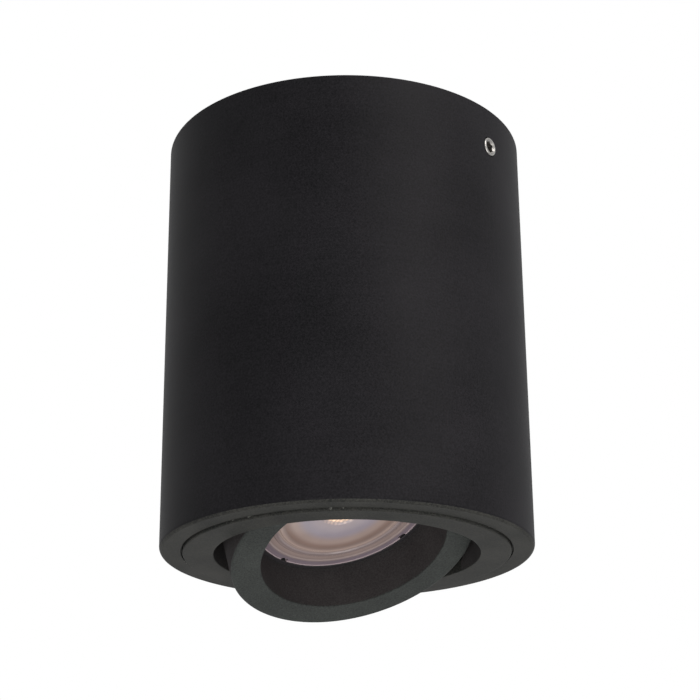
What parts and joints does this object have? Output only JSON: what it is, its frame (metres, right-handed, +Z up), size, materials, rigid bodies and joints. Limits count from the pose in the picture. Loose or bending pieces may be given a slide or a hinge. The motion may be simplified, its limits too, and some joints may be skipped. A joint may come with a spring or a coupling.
{
  "type": "surface mounted ceiling spotlight",
  "caption": "Black cylindrical surface-mounted ceiling spotlight with a turning front ring and a tilting lamp ring around a reflector lamp.",
  "frame": {"origin": "centre of the ceiling slots on the mounting plate's ceiling face", "axes": "+Z up into the ceiling along the housing's axis; +X through the two ceiling slots and the two side grub screws"},
  "size_m": [0.0966, 0.096, 0.1251],
  "materials": {
    "housing_paint": "fine matt black powder coat",
    "ring_paint": "fine matt black powder coat",
    "screw_steel": "bright zinc plate",
    "spring_steel": "rolled spring steel",
    "plate_steel": "zinc-plated sheet",
    "black_screw": "black oxide",
    "grommet_rubber": "matt",
    "terminal_plastic": "natural polyamide",
    "brass": "turned brass",
    "tinned_copper": "tinned",
    "nylon": "nylon",
    "lens_plastic": "moulded optic",
    "lamp_black": "matt",
    "lamp_aluminium": "die-cast",
    "board_white": "solder mask",
    "chip_yellow": "phosphor",
    "board_green": "glass epoxy",
    "lamp_plastic": "white",
    "ceramic": "unglazed steatite",
    "lead_brown": "silicone",
    "lead_blue": "silicone",
    "lead_green": "green and yellow silicone"
  },
  "bodies": {
    "housing": {"tube_body": "housing_paint", "grub_screws": "screw_steel", "mounting_plate": "plate_steel", "cable_grommet": "grommet_rubber", "terminal_block": "terminal_plastic", "block_screw": "screw_steel", "terminal_sleeves": "brass", "terminal_screws": "screw_steel", "earth_screw": "screw_steel", "earth_washer": "screw_steel", "earth_lug": "tinned_copper", "earth_lead": "lead_green", "live_upper_lead": "lead_brown", "neutral_upper_lead": "lead_blue"},
    "front_ring": {"front_ring": "ring_paint", "retaining_springs": "spring_steel", "spring_screws": "screw_steel", "pivot_screws": "black_screw", "pivot_washers": "nylon", "live_lower_lead": "lead_brown", "neutral_lower_lead": "lead_blue"},
    "lamp_head": {"lamp_ring": "ring_paint", "lamp_clip": "spring_steel", "lamp_lens": "lens_plastic", "lamp_rim": "lamp_black", "lamp_heat_sink": "lamp_aluminium", "lamp_led_board": "board_white", "lamp_led_chip": "chip_yellow", "lamp_driver": "board_green", "lamp_base": "lamp_plastic", "lamp_pins": "screw_steel", "holder_body": "ceramic", "holder_cover": "ceramic", "holder_screws": "screw_steel", "holder_contacts": "tinned_copper"}
  },
  "joints": [
    {"name": "ring_turn", "type": "hinge", "parent": "housing", "child": "front_ring", "pos_m": [0, 0, -0.1046], "axis": [0, 0, 1], "range_deg": [-175, 175], "deforming": ["live_upper_lead", "neutral_upper_lead"]},
    {"name": "lamp_tilt", "type": "hinge", "parent": "front_ring", "child": "lamp_head", "pos_m": [0, 0, -0.1046], "axis": [-0.3077, -0.9515, 0], "range_deg": [-48.6, 1.4], "deforming": ["live_lower_lead", "neutral_lower_lead"]}
  ]
}
